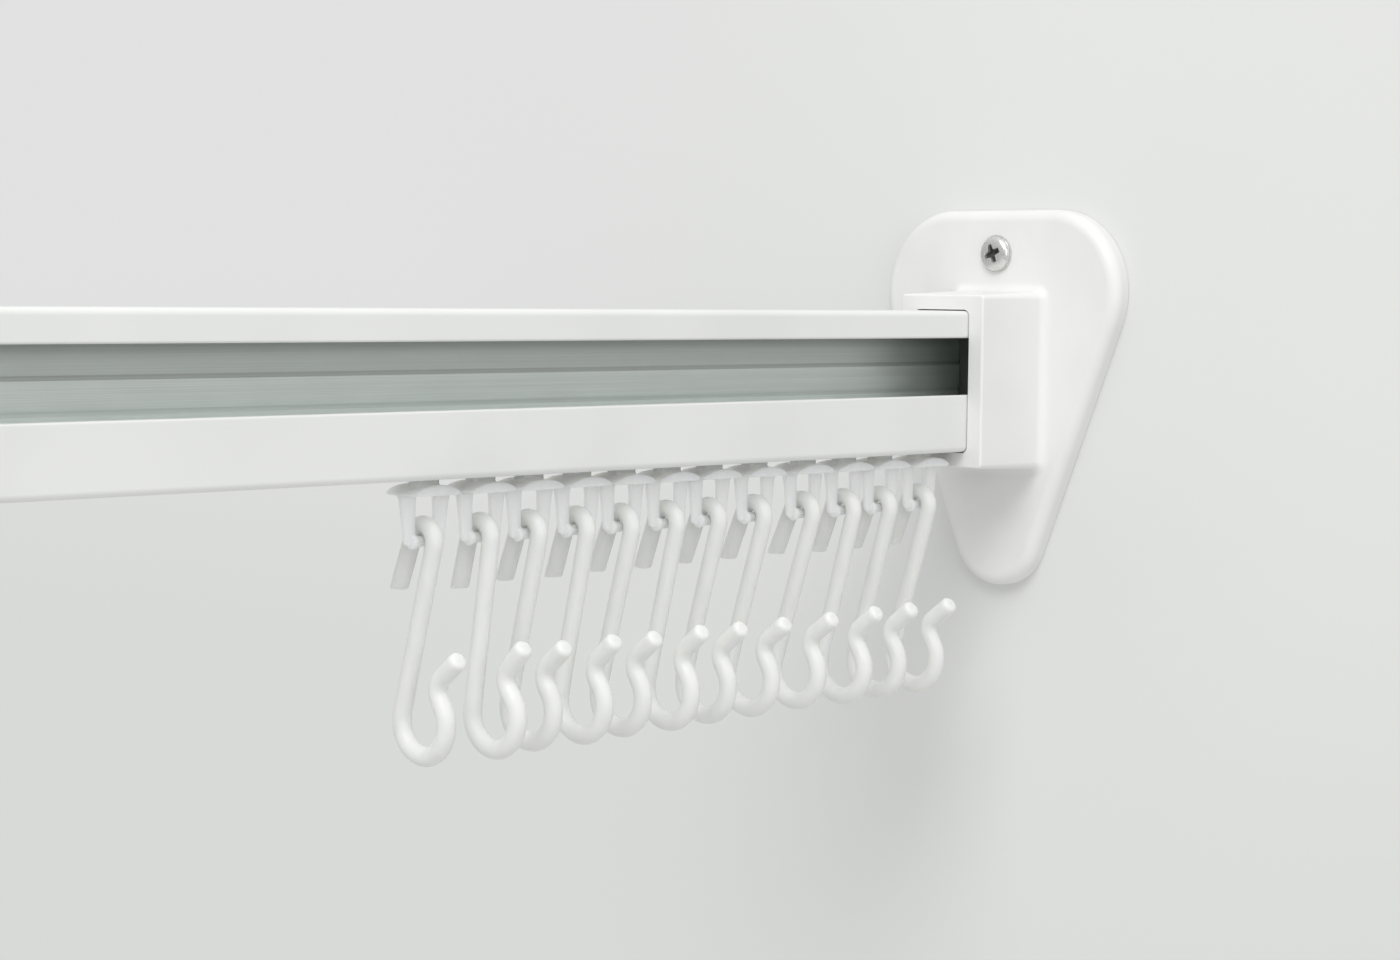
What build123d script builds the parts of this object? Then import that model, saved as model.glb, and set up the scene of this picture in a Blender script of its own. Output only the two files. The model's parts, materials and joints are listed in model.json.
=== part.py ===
"""Curtain rail on two side-wall brackets, with twelve runners and their hooks.

Frame: +X points along the rail towards the right-hand wall, +Z is up and -Y is the side
with the long slot.  The origin is on the right-hand wall, where the rail's centre line
meets the back of the bracket plate.  Lengths are in millimetres, angles in degrees.
"""
import os
from math import atan2, cos, degrees, radians, sin

from build123d import *

# ---------------------------------------------------------------- overall
wall_gap = 600.0            # from the back of one plate to the back of the other

# ---------------------------------------------------------------- rail extrusion
rail_depth = 14.6           # front to back, along Y
rail_height = 30.0
rail_wall = 1.2
rail_corner = 1.2           # outer corner radius
rail_inner_corner = 0.5
top_lip = 5.75              # front strip above the side slot
front_band = 12.2           # front strip below the side slot
lip_round = 0.45            # rounding of the edges beside both slots
web_drop = 1.1              # from the top of the front band down to the web
bottom_slot = 4.4           # slot that the runners' necks hang through
groove_depth = 0.35         # two fine grooves along the inside of the back wall
groove_width = 0.8
groove_heights = (18.5, 12.75)   # above the underside of the rail

# ---------------------------------------------------------------- brackets
plate_thick = 4.5
plate_corner = 18.0         # radius of the two upper corners
plate_half_width = 31.8
plate_shift = 0.8           # the plate's centre lies this far behind the rail's, along +Y
plate_above_rail = 22.0     # top of the rail to the plate's top edge
plate_below_rail = 30.4     # underside of the rail to the plate's lowest point
plate_tip = 11.5            # radius of the lower end
plate_edge_round = 2.5
socket_length = 20.0        # from the plate's face to the mouth
socket_side_wall = 3.7      # wall at the mouth, in front of and behind the rail
socket_flat_wall = 3.2      # wall at the mouth, above and below the rail
socket_draft = 2.4          # the socket grows towards the plate
socket_corner = 0.9
socket_mouth_round = 0.5
socket_root_fillet = 2.0
socket_floor = 1.5          # left between the rail's pocket and the plate's face
rail_fit = 0.25             # gap all round between rail and socket
rail_end_gap = 1.5          # between the rail's end and the pocket's floor

# ---------------------------------------------------------------- wall screws
screw_shank = 4.2           # diameter of the length that goes into the wall
screw_neck = 3.7            # diameter under the head, where the screw passes the plate
screw_head = 8.0            # diameter
screw_rim = 0.7             # straight edge of the head
screw_dome = 1.4            # height of the rounded top above the rim
screw_length = 30.0         # reach past the back of the plate
screw_point = 5.0
screw_hole_gap = 0.15       # radial gap round shank and head
recess_width = 1.0          # arm width of the cross recess
recess_span = 4.4
recess_depth = 1.7
recess_turn = 20.0          # how far the screws were left turned
screw_above_rail = 12.5     # top of the rail to the upper screw
lower_screw_drop = 8.0      # below the rail's centre line, on the pocket's floor
lower_screw_sink = 2.4      # how far the lower head's seat lies below the pocket's floor

# ---------------------------------------------------------------- end stops in the rail
stop_flange = 1.0
stop_plug = 9.0             # length of the plug that stops the runners' heads
stop_key = 3.0              # length of the plug in the upper chamber
stop_gap = 0.1
stop_inset = 0.3            # the flange is this much smaller than the rail all round

# ---------------------------------------------------------------- runners
cap_width = 11.4            # along the rail
cap_depth = 9.0
cap_arch = 1.6              # rise of the arched top above its rim
cap_rim = 0.35
cap_below_rail = 1.05       # gap between the rail and the top of the arch
neck_width = 5.2
neck_gap = 0.5              # between the neck and each side of the bottom slot
head_inset = 0.5            # the head is this much shorter than the cap at each end
head_gap_side = 1.3         # between the head and each wall of the chamber
head_thick = 2.6
head_round = 1.5
head_float = 0.12           # between the head and the flanges it runs on
frame_thick = 1.2
frame_foot_width = 8.9
frame_window = 4.5
bar_radius = 1.0
bar_drop = 8.3              # underside of the cap to the bar's centre
foot_round = 0.4
# gap on the bracket's side of each cap, starting from the right-hand bracket
runner_gaps = (1.1, 1.4, 0.2, 1.3, 3.1, 1.7, 0.4, 0.9, 0.3, 0.8, 0.5, 2.0)

# ---------------------------------------------------------------- hooks
rod = 3.3                   # diameter of the hook's rod
bar_clearance = 0.25        # round the bar
tail_angle = 21.5           # tail, away from plumb
tail_length = 10.9          # down to the middle of its level end
shank_angle = 15.0          # shank, away from plumb
shank_length = 31.3
crook_radius = 6.05         # centre line of the lower bend
crook_lean = 32.0           # front arm leans back this far from plumb
arm_length = 1.8            # straight stretch of the front arm
kink_radius = 3.0
tip_angle = 51.0            # tip, forward from plumb
tip_length = 6.0
tip_round = 0.9
# how far each hook was left swinging out from plumb, positive away from the slot side
hook_swings = (1.3, 0.8, 0.0, 2.5, 1.7, 0.9, -1.4, 0.0, -2.7, -1.2, -7.0, 0.0)

# ---------------------------------------------------------------- derived places
plate_rise = rail_height / 2 + plate_above_rail
plate_drop = rail_height / 2 + plate_below_rail
upper_screw_rise = rail_height / 2 + screw_above_rail
mouth_x = -(plate_thick + socket_length)
pocket_floor_x = -(plate_thick + socket_floor)
rail_end_x = pocket_floor_x - rail_end_gap
rail_length = wall_gap + 2 * rail_end_x
underside = -rail_height / 2
slot_bottom = underside + front_band
slot_top = rail_height / 2 - top_lip
web_top = slot_bottom - web_drop
chamber_width = rail_depth - 2 * rail_wall
head_width = cap_width - 2 * head_inset
head_underside = underside + rail_wall + head_float
cap_bottom = underside - cap_below_rail - cap_arch - cap_rim
bar_z = cap_bottom - bar_drop
left_wall = Location((-wall_gap, 0, 0), (0, 0, 180))


def box_between(x, y, z):
    """A box from three (low, high) pairs."""
    centre = [(a + b) / 2 for a, b in (x, y, z)]
    return Pos(*centre) * Box(x[1] - x[0], y[1] - y[0], z[1] - z[0])


def strip(y, z):
    """A rectangle in the rail's section, from two (low, high) pairs."""
    centre = Pos((y[0] + y[1]) / 2, (z[0] + z[1]) / 2)
    return centre * Rectangle(y[1] - y[0], z[1] - z[0])


# ---------------------------------------------------------------- rail
def rail_section():
    """Upper chamber open through the side slot, lower chamber open through the bottom slot."""
    half, high = rail_depth / 2, rail_height / 2
    inner = chamber_width / 2
    ceiling = high - rail_wall
    chamber_floor = underside + rail_wall
    web_under = web_top - rail_wall
    section = RectangleRounded(rail_depth, rail_height, rail_corner)
    for low, top in ((web_top, ceiling), (chamber_floor, web_under)):
        section -= Pos(0, (low + top) / 2) * RectangleRounded(
            chamber_width, top - low, rail_inner_corner
        )
    section -= strip((-half - 1, -inner + 0.01), (slot_bottom, slot_top))
    section -= strip((-bottom_slot / 2, bottom_slot / 2), (underside - 1, chamber_floor + 0.01))
    for height in groove_heights:
        middle = underside + height
        section -= strip(
            (inner - 0.01, inner + groove_depth),
            (middle - groove_width / 2, middle + groove_width / 2),
        )

    def beside_a_slot(vertex):
        at_side_slot = vertex.X < -inner + 0.1 and (
            abs(vertex.Y - slot_bottom) < 0.01 or abs(vertex.Y - slot_top) < 0.01
        )
        at_bottom_slot = (
            abs(abs(vertex.X) - bottom_slot / 2) < 0.01 and vertex.Y < chamber_floor + 0.1
        )
        return at_side_slot or at_bottom_slot

    edges_of_slots = [v for v in section.vertices() if beside_a_slot(v)]
    return fillet(edges_of_slots, min(lip_round, 0.45 * rail_wall))


def make_rail():
    profile = Plane.YZ * rail_section()
    bar = extrude(profile, amount=rail_length, dir=(1, 0, 0))
    return Pos(rail_end_x - rail_length, 0, 0) * bar


# ---------------------------------------------------------------- brackets and their screws
def screw_places():
    """(x of the seat, y, z) of the upper and the lower screw on the right-hand bracket."""
    upper = (-plate_thick, plate_shift, upper_screw_rise)
    lower = (pocket_floor_x + lower_screw_sink, plate_shift, -lower_screw_drop)
    return upper, lower


def plate_outline():
    corner_y = plate_half_width - plate_corner
    with BuildSketch(Plane.YZ) as outline:
        with Locations(
            (corner_y, plate_rise - plate_corner), (-corner_y, plate_rise - plate_corner)
        ):
            Circle(plate_corner)
        with Locations((0, plate_tip - plate_drop)):
            Circle(plate_tip)
        make_hull()
    return Pos(0, plate_shift, 0) * outline.sketch


def socket_block():
    """Drafted box round the rail, from inside the plate out to the mouth."""
    width = rail_depth + 2 * (rail_fit + socket_side_wall)
    height = rail_height + 2 * (rail_fit + socket_flat_wall)
    facing_wall = Plane(origin=(mouth_x, 0, 0), x_dir=(0, 1, 0), z_dir=(1, 0, 0))
    mouth = facing_wall * RectangleRounded(width, height, socket_corner)
    return extrude(mouth, amount=socket_length + plate_thick / 2, taper=-socket_draft)


def screw_clearance(seat_x, y, z):
    """Hole for the shank, and the room in front of the seat for a sunk head."""
    along = Rot(0, 90, 0)
    pocket = Pos(seat_x - lower_screw_sink / 2, y, z) * along * Cylinder(
        screw_head / 2 + screw_hole_gap, lower_screw_sink
    )
    hole = Pos(seat_x / 2, y, z) * along * Cylinder(
        screw_shank / 2 + screw_hole_gap, abs(seat_x) + 1
    )
    return pocket + hole


def make_bracket():
    plate = extrude(plate_outline(), amount=plate_thick, dir=(-1, 0, 0))
    face_edges = plate.faces().sort_by(Axis.X)[0].edges()
    plate = fillet(face_edges, min(plate_edge_round, 0.6 * plate_thick))
    body = plate + socket_block()
    root = [
        e for e in body.edges()
        if abs(e.center().X + plate_thick) < 0.01 and e.bounding_box().size.X < 0.01
        and abs(e.center().Y) < rail_depth and abs(e.center().Z) < 0.75 * rail_height
    ]
    body = fillet(root, socket_root_fillet)
    mouth_edges = body.faces().sort_by(Axis.X)[0].edges()
    body = fillet(mouth_edges, socket_mouth_round)
    into_wall = Plane(origin=(mouth_x, 0, 0), x_dir=(0, 1, 0), z_dir=(1, 0, 0))
    pocket = RectangleRounded(
        rail_depth + 2 * rail_fit, rail_height + 2 * rail_fit, rail_corner + rail_fit
    )
    body -= extrude(into_wall * pocket, amount=pocket_floor_x - mouth_x)
    for place in screw_places():
        body -= screw_clearance(*place)
    return body


def make_screw(seat_x, y, z):
    """Pan-head wall screw with its head's underside at seat_x and its point in the wall."""
    shank_r, neck_r, head_r = screw_shank / 2, screw_neck / 2, screw_head / 2
    reach = screw_length - seat_x
    bulge = (head_r**2 + screw_dome**2) / (2 * screw_dome)
    crown = (0, -screw_rim - screw_dome)
    with BuildPart() as screw:
        with BuildSketch(Plane.XZ):
            with BuildLine():
                RadiusArc(crown, (head_r, -screw_rim), -bulge)
                Polyline(
                    (head_r, -screw_rim),
                    (head_r, 0),
                    (neck_r, 0),
                    (neck_r, -seat_x),
                    (shank_r, -seat_x),
                    (shank_r, reach - screw_point),
                    (0.3, reach),
                    (0, reach),
                    crown,
                )
            make_face()
        revolve(axis=Axis.Z)
    solid = screw.part
    for turn in (0, 90):
        arm = Box(recess_span, recess_width, 2 * recess_depth)
        solid -= Pos(0, 0, crown[1]) * Rot(0, 0, turn + recess_turn) * arm
    return Pos(seat_x, y, z) * Rot(0, 90, 0) * solid


def make_end_stop():
    """Flange over the rail's end, with a plug in each chamber."""
    flange = RectangleRounded(
        rail_depth - 2 * stop_inset, rail_height - 2 * stop_inset, rail_corner
    )
    stop = Pos(rail_end_x + stop_gap, 0, 0) * extrude(
        Plane.YZ * flange, amount=stop_flange, dir=(1, 0, 0)
    )
    ceiling = rail_height / 2 - rail_wall
    plug_half = chamber_width / 2 - stop_gap
    chambers = (
        (stop_key, web_top, ceiling),
        (stop_plug, underside + rail_wall, web_top - rail_wall),
    )
    for length, low, top in chambers:
        plug = box_between(
            (rail_end_x - length, rail_end_x + stop_gap + stop_flange / 2),
            (-plug_half, plug_half),
            (low + stop_gap, top - stop_gap),
        )
        stop += fillet(plug.edges().filter_by(Axis.X), rail_inner_corner)
    return stop


# ---------------------------------------------------------------- runners
def runner_places():
    """x of every runner, from the right-hand bracket outwards."""
    places, edge = [], mouth_x
    for gap in runner_gaps:
        centre = edge - gap - cap_width / 2
        places.append(centre)
        edge = centre - cap_width / 2
    return places


def make_runner(x):
    """Head inside the rail, neck, arched cap, and a frame that carries the hook's bar."""
    rim_z = cap_bottom + cap_rim
    half = cap_width / 2
    with BuildPart() as cap:
        with BuildSketch(Plane.XZ):
            with BuildLine():
                ThreePointArc((-half, rim_z), (0, rim_z + cap_arch), (half, rim_z))
                Polyline((half, rim_z), (half, cap_bottom), (-half, cap_bottom), (-half, rim_z))
            make_face()
        extrude(amount=cap_depth / 2, both=True)
    head_depth = chamber_width - 2 * head_gap_side
    head = box_between(
        (-head_width / 2, head_width / 2),
        (-head_depth / 2, head_depth / 2),
        (head_underside, head_underside + head_thick),
    )
    head = fillet(head.edges().filter_by(Axis.Z), head_round)
    neck_half = bottom_slot / 2 - neck_gap
    neck = box_between(
        (-neck_width / 2, neck_width / 2),
        (-neck_half, neck_half),
        (rim_z, head_underside + head_thick / 2),
    )
    neck = fillet(neck.edges().filter_by(Axis.Z), 0.45 * neck_half)
    foot_z = bar_z - frame_thick / 2
    foot, top = frame_foot_width / 2, half - 0.05
    with BuildPart() as frame:
        with BuildSketch(Plane.XZ):
            with BuildLine():
                Polyline(
                    (-foot, foot_z), (foot, foot_z), (top, cap_bottom + 0.1),
                    (-top, cap_bottom + 0.1), close=True,
                )
            make_face()
        extrude(amount=frame_thick / 2, both=True)
    legs = frame.part - box_between(
        (-frame_window / 2, frame_window / 2),
        (-frame_thick, frame_thick),
        (foot_z - 1, cap_bottom),
    )
    feet = legs.edges().filter_by(Axis.X).filter_by_position(Axis.Z, foot_z - 0.01, foot_z + 0.01)
    legs = fillet(feet, foot_round)
    bar = Pos(0, 0, bar_z) * Rot(0, 90, 0) * Cylinder(bar_radius, frame_window + 1)
    return Pos(x, 0, 0) * (cap.part + head + neck + legs + bar)


# ---------------------------------------------------------------- hooks
def hook_line():
    """Centre line in the YZ plane with the bar's centre at its origin, from tail to tip."""
    bend = bar_radius + bar_clearance + rod / 2
    tail, shank = radians(tail_angle), radians(shank_angle)
    lean, tip = radians(crook_lean), radians(tip_angle)
    tail_top = Vector(bend * cos(tail), bend * sin(tail))
    tail_end = tail_top + Vector(sin(tail), -cos(tail)) * tail_length
    shank_top = Vector(-bend * cos(shank), -bend * sin(shank))
    shank_end = shank_top + Vector(sin(shank), -cos(shank)) * shank_length
    crook = shank_end - Vector(cos(shank), sin(shank)) * crook_radius
    crook_low = crook + Vector(0, -crook_radius)
    arm_start = crook + Vector(-cos(lean), sin(lean)) * crook_radius
    arm_end = arm_start + Vector(sin(lean), cos(lean)) * arm_length
    kink = arm_end + Vector(-cos(lean), sin(lean)) * kink_radius
    kink_mid = kink + Vector(cos((lean - tip) / 2), -sin((lean - tip) / 2)) * kink_radius
    kink_end = kink + Vector(cos(tip), sin(tip)) * kink_radius
    tip_end = kink_end + Vector(-sin(tip), cos(tip)) * tip_length
    return {
        "tail": (tail_end, tail_top),
        "bend": (tail_top, Vector(0, bend), shank_top),
        "shank": (shank_top, shank_end),
        "crook": (shank_end, crook_low, arm_start),
        "arm": (arm_start, arm_end),
        "kink": (arm_end, kink_mid, kink_end),
        "tip": (kink_end, tip_end),
    }


def hook_at_bar():
    """The hook with the bar's centre at the origin, before it is hung."""
    spans = hook_line()
    level = spans["tail"][0].Y
    edges = []
    for name, points in spans.items():
        if name == "tail":
            # the rod is swept past its end, which is then cut off level
            points = (points[0] + (points[0] - points[1]).normalized() * rod, points[1])
        in_space = [Vector(0, p.X, p.Y) for p in points]
        edges.append(Line(*in_space) if len(points) == 2 else ThreePointArc(*in_space))
    path = Wire([e.edge() for e in edges])
    section = Plane(origin=path @ 0, x_dir=(1, 0, 0), z_dir=path % 0) * Circle(rod / 2)
    hook = sweep(section, path=path)
    tip_face = hook.faces().sort_by_distance(path @ 1)[0]
    hook = fillet(tip_face.edges(), min(tip_round, 0.45 * rod))
    tail_y = spans["tail"][0].X
    offcut = box_between(
        (-rod, rod), (tail_y - rod, tail_y + rod), (level - 1.4 * rod, level)
    )
    return hook - offcut


def hang(hook, swing):
    """Turns the hook about the bar until its weight is plumb below it, plus its swing."""
    weight = hook.center(CenterOf.MASS)
    plumb = degrees(atan2(-weight.Y, -weight.Z))
    return Rot(plumb + swing, 0, 0) * hook


os.makedirs("parts", exist_ok=True)

bracket = make_bracket()
end_stop = make_end_stop()
upper_screw, lower_screw = (make_screw(*place) for place in screw_places())
hook = hook_at_bar()

nodes = {
    "rail": make_rail(),
    "bracket_right": bracket,
    "bracket_left": left_wall * bracket,
    "end_stop_right": end_stop,
    "end_stop_left": left_wall * end_stop,
    "upper_screw_right": upper_screw,
    "upper_screw_left": left_wall * upper_screw,
    "lower_screw_right": lower_screw,
    "lower_screw_left": left_wall * lower_screw,
}
for number, (x, swing) in enumerate(zip(runner_places(), hook_swings), start=1):
    nodes[f"runner_{number:02d}"] = make_runner(x)
    nodes[f"hook_{number:02d}"] = Pos(x, 0, bar_z) * hang(hook, swing)

for name, solid in nodes.items():
    export_step(solid, f"parts/{name}.step")
print(len(nodes), "nodes; rail length", round(rail_length, 2))
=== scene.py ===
"""Looks of a short curtain rail that two brackets hold between side walls.

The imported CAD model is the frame: it gives the place of every piece and how it moves. The
brackets, the rail and its end stops keep their CAD shape and get finishes here. The hooks,
runners and screws are built here with the detail of the real mouldings and threads.
Lengths are in metres in the row frame: +X runs along the rail towards the right-hand wall,
+Z is up and -Y is the side with the long slot.
"""
from __future__ import annotations

import json
import logging
import math
from dataclasses import dataclass, field
from enum import Enum
from typing import Any, ClassVar, Iterable, Sequence

import bpy
import numpy as np
from mathutils import Matrix, Vector

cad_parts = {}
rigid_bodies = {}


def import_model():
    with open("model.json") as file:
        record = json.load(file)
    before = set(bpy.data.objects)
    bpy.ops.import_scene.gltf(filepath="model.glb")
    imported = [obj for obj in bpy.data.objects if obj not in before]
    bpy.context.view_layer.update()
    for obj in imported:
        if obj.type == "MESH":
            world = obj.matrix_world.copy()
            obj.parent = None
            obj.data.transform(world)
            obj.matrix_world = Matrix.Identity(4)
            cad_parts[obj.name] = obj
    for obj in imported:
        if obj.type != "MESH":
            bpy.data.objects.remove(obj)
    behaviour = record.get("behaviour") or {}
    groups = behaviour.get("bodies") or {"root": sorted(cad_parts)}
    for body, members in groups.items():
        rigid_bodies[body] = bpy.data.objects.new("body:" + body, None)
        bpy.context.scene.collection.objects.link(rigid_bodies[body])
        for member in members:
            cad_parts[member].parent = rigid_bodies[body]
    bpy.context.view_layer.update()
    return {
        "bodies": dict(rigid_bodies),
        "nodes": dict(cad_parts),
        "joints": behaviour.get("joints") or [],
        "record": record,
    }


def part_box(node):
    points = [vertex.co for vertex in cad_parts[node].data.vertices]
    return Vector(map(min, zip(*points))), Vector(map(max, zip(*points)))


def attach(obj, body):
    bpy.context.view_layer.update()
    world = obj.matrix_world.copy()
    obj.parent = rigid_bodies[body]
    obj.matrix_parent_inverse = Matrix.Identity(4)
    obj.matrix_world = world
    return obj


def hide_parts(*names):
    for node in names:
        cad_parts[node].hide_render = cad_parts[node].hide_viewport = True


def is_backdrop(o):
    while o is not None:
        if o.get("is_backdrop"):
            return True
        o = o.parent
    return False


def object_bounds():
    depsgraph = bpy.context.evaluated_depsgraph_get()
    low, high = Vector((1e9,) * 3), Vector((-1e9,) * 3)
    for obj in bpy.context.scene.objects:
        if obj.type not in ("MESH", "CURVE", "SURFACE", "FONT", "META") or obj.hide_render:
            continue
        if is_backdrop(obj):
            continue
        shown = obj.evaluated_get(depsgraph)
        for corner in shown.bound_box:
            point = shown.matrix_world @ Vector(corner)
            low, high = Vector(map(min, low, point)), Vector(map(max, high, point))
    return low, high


log = logging.getLogger("curtain_rail")
MM = 0.001
Colour = tuple[float, float, float]


class Side(Enum):
    """Which wall a bracket and its screws are on, with the sign of the way into that wall."""

    RIGHT = 1
    LEFT = -1

    @property
    def word(self) -> str:
        """The side's name as node names spell it."""
        return self.name.lower()


# --------------------------------------------------------------------------- shader maths
class Value:
    """A number that varies over a surface, with Python's operators as Math nodes."""

    def __init__(self, sheet: "NodeSheet", socket: bpy.types.NodeSocket) -> None:
        """Wraps an output socket.

        Args:
            sheet: the node sheet that the socket belongs to.
            socket: the output that holds the number.
        """
        self.sheet = sheet
        self.socket = socket

    def _math(self, operation: str, *terms: Any) -> "Value":
        """Adds one Math node on the given terms."""
        return self.sheet.number("ShaderNodeMath", {"operation": operation}, *terms)

    def __add__(self, other: Any) -> "Value":
        """This number plus another."""
        return self._math("ADD", self, other)

    def __sub__(self, other: Any) -> "Value":
        """This number less another."""
        return self._math("SUBTRACT", self, other)

    def __rsub__(self, other: Any) -> "Value":
        """Another number less this one."""
        return self._math("SUBTRACT", other, self)

    def __mul__(self, other: Any) -> "Value":
        """This number times another."""
        return self._math("MULTIPLY", self, other)

    def __abs__(self) -> "Value":
        """This number without its sign."""
        return self._math("ABSOLUTE", self)

    __radd__ = __add__
    __rmul__ = __mul__

    def rise(self, low: float, high: float) -> "Value":
        """A smooth step of this number.

        Args:
            low: where the step is still 0.
            high: where it has reached 1. Swapped ends make it fall instead.

        Returns:
            The step, from 0 to 1.
        """
        falls = low > high
        ends = (high, low) if falls else (low, high)
        settings = {"interpolation_type": "SMOOTHSTEP"}
        step = self.sheet.number("ShaderNodeMapRange", settings, self, *ends)
        return 1 - step if falls else step


class NodeSheet:
    """A node tree with short ways to fill it."""

    def __init__(self, tree: bpy.types.NodeTree) -> None:
        """Empties the tree of a material or world and takes it over."""
        self.tree = tree
        self.tree.nodes.clear()

    def node(self, kind: str, settings: dict[str, Any] | None = None,
             sockets: dict[Any, Any] | None = None) -> bpy.types.Node:
        """Adds any node.

        Args:
            kind: the node's type.
            settings: its own properties, which are set before its sockets.
            sockets: a value, a wrapped number or an output socket for each input.

        Returns:
            The new node.
        """
        made = self.tree.nodes.new(kind)
        for key, value in (settings or {}).items():
            setattr(made, key, value)
        for key, value in (sockets or {}).items():
            self.feed(made.inputs[key], value)
        return made

    def feed(self, socket: bpy.types.NodeSocket, value: Any) -> None:
        """Links or sets one input, whichever the value asks for.

        Args:
            socket: the input.
            value: a plain value, a wrapped number or an output socket.
        """
        if isinstance(value, Value):
            value = value.socket
        if isinstance(value, bpy.types.NodeSocket):
            self.tree.links.new(value, socket)
        else:
            socket.default_value = value

    def number(self, kind: str, settings: dict[str, Any], *terms: Any) -> Value:
        """Adds a node whose inputs are taken in order and whose first output is a number."""
        return Value(self, self.node(kind, settings, dict(enumerate(terms))).outputs[0])

    def place(self) -> tuple[bpy.types.NodeSocket, Value, Value, Value]:
        """The point on the piece in metres.

        Returns:
            The point as one vector, then its X, Y and Z.
        """
        spot = self.node("ShaderNodeTexCoord").outputs["Object"]
        split = self.node("ShaderNodeSeparateXYZ", None, {0: spot})
        return (spot, *(Value(self, split.outputs[axis]) for axis in "XYZ"))

    def noise(self, spot: bpy.types.NodeSocket, size: float | Sequence[float],
              detail: float) -> Value:
        """Soft noise from 0 to 1.

        Args:
            spot: the point on the piece, in metres.
            size: how large its patches are, in metres, alike or for each of X, Y and Z.
            detail: how many finer layers it has.

        Returns:
            The noise as a number.
        """
        sizes = (size,) * 3 if isinstance(size, (int, float)) else size
        stretch = self.node("ShaderNodeMapping", None,
                            {"Vector": spot, "Scale": tuple(1 / s for s in sizes)})
        made = self.node("ShaderNodeTexNoise", None, {
            "Vector": stretch.outputs["Vector"], "Scale": 1.0, "Detail": detail})
        return Value(self, made.outputs[0])

    def mix(self, share: Value | float, first: Any, second: Any) -> bpy.types.NodeSocket:
        """Mixes two colours.

        Args:
            share: how much of the second there is, from 0 to 1.
            first: a colour or a socket.
            second: the other one.

        Returns:
            The mixed colour's socket.
        """
        made = self.node("ShaderNodeMix", {"data_type": "RGBA"}, {0: share})
        for index, colour in ((6, first), (7, second)):
            self.feed(made.inputs[index], (*colour, 1.0) if isinstance(colour, tuple) else colour)
        return made.outputs[2]


class Finish(NodeSheet):
    """The node tree of one material, around its Principled shader."""

    def __init__(self, name: str) -> None:
        """Makes a material whose tree holds only its output and a Principled shader.

        Args:
            name: the material's name.
        """
        self.material = bpy.data.materials.new(name)
        self.material.use_nodes = True
        super().__init__(self.material.node_tree)
        self.output = self.node("ShaderNodeOutputMaterial")
        self.shader = self.node("ShaderNodeBsdfPrincipled")
        self.feed(self.output.inputs["Surface"], self.shader.outputs["BSDF"])

    def relief(self, height: Value, depth: float) -> None:
        """Lets a height from 0 to 1 stand that many metres proud in the shading."""
        bump = self.node("ShaderNodeBump", None,
                         {"Strength": 1.0, "Distance": depth, "Height": height})
        self.feed(self.shader.inputs["Normal"], bump.outputs["Normal"])

    def dress(self, **sockets: Any) -> bpy.types.Material:
        """Fills the shader's inputs, whose names are written with underscores.

        Args:
            sockets: a value or a link for each input, such as Base_Color.

        Returns:
            The finished material.
        """
        for name, value in sockets.items():
            if isinstance(value, tuple) and len(value) == 3 and "Radius" not in name:
                value = (*value, 1.0)
            self.feed(self.shader.inputs[name.replace("_", " ")], value)
        return self.material


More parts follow.
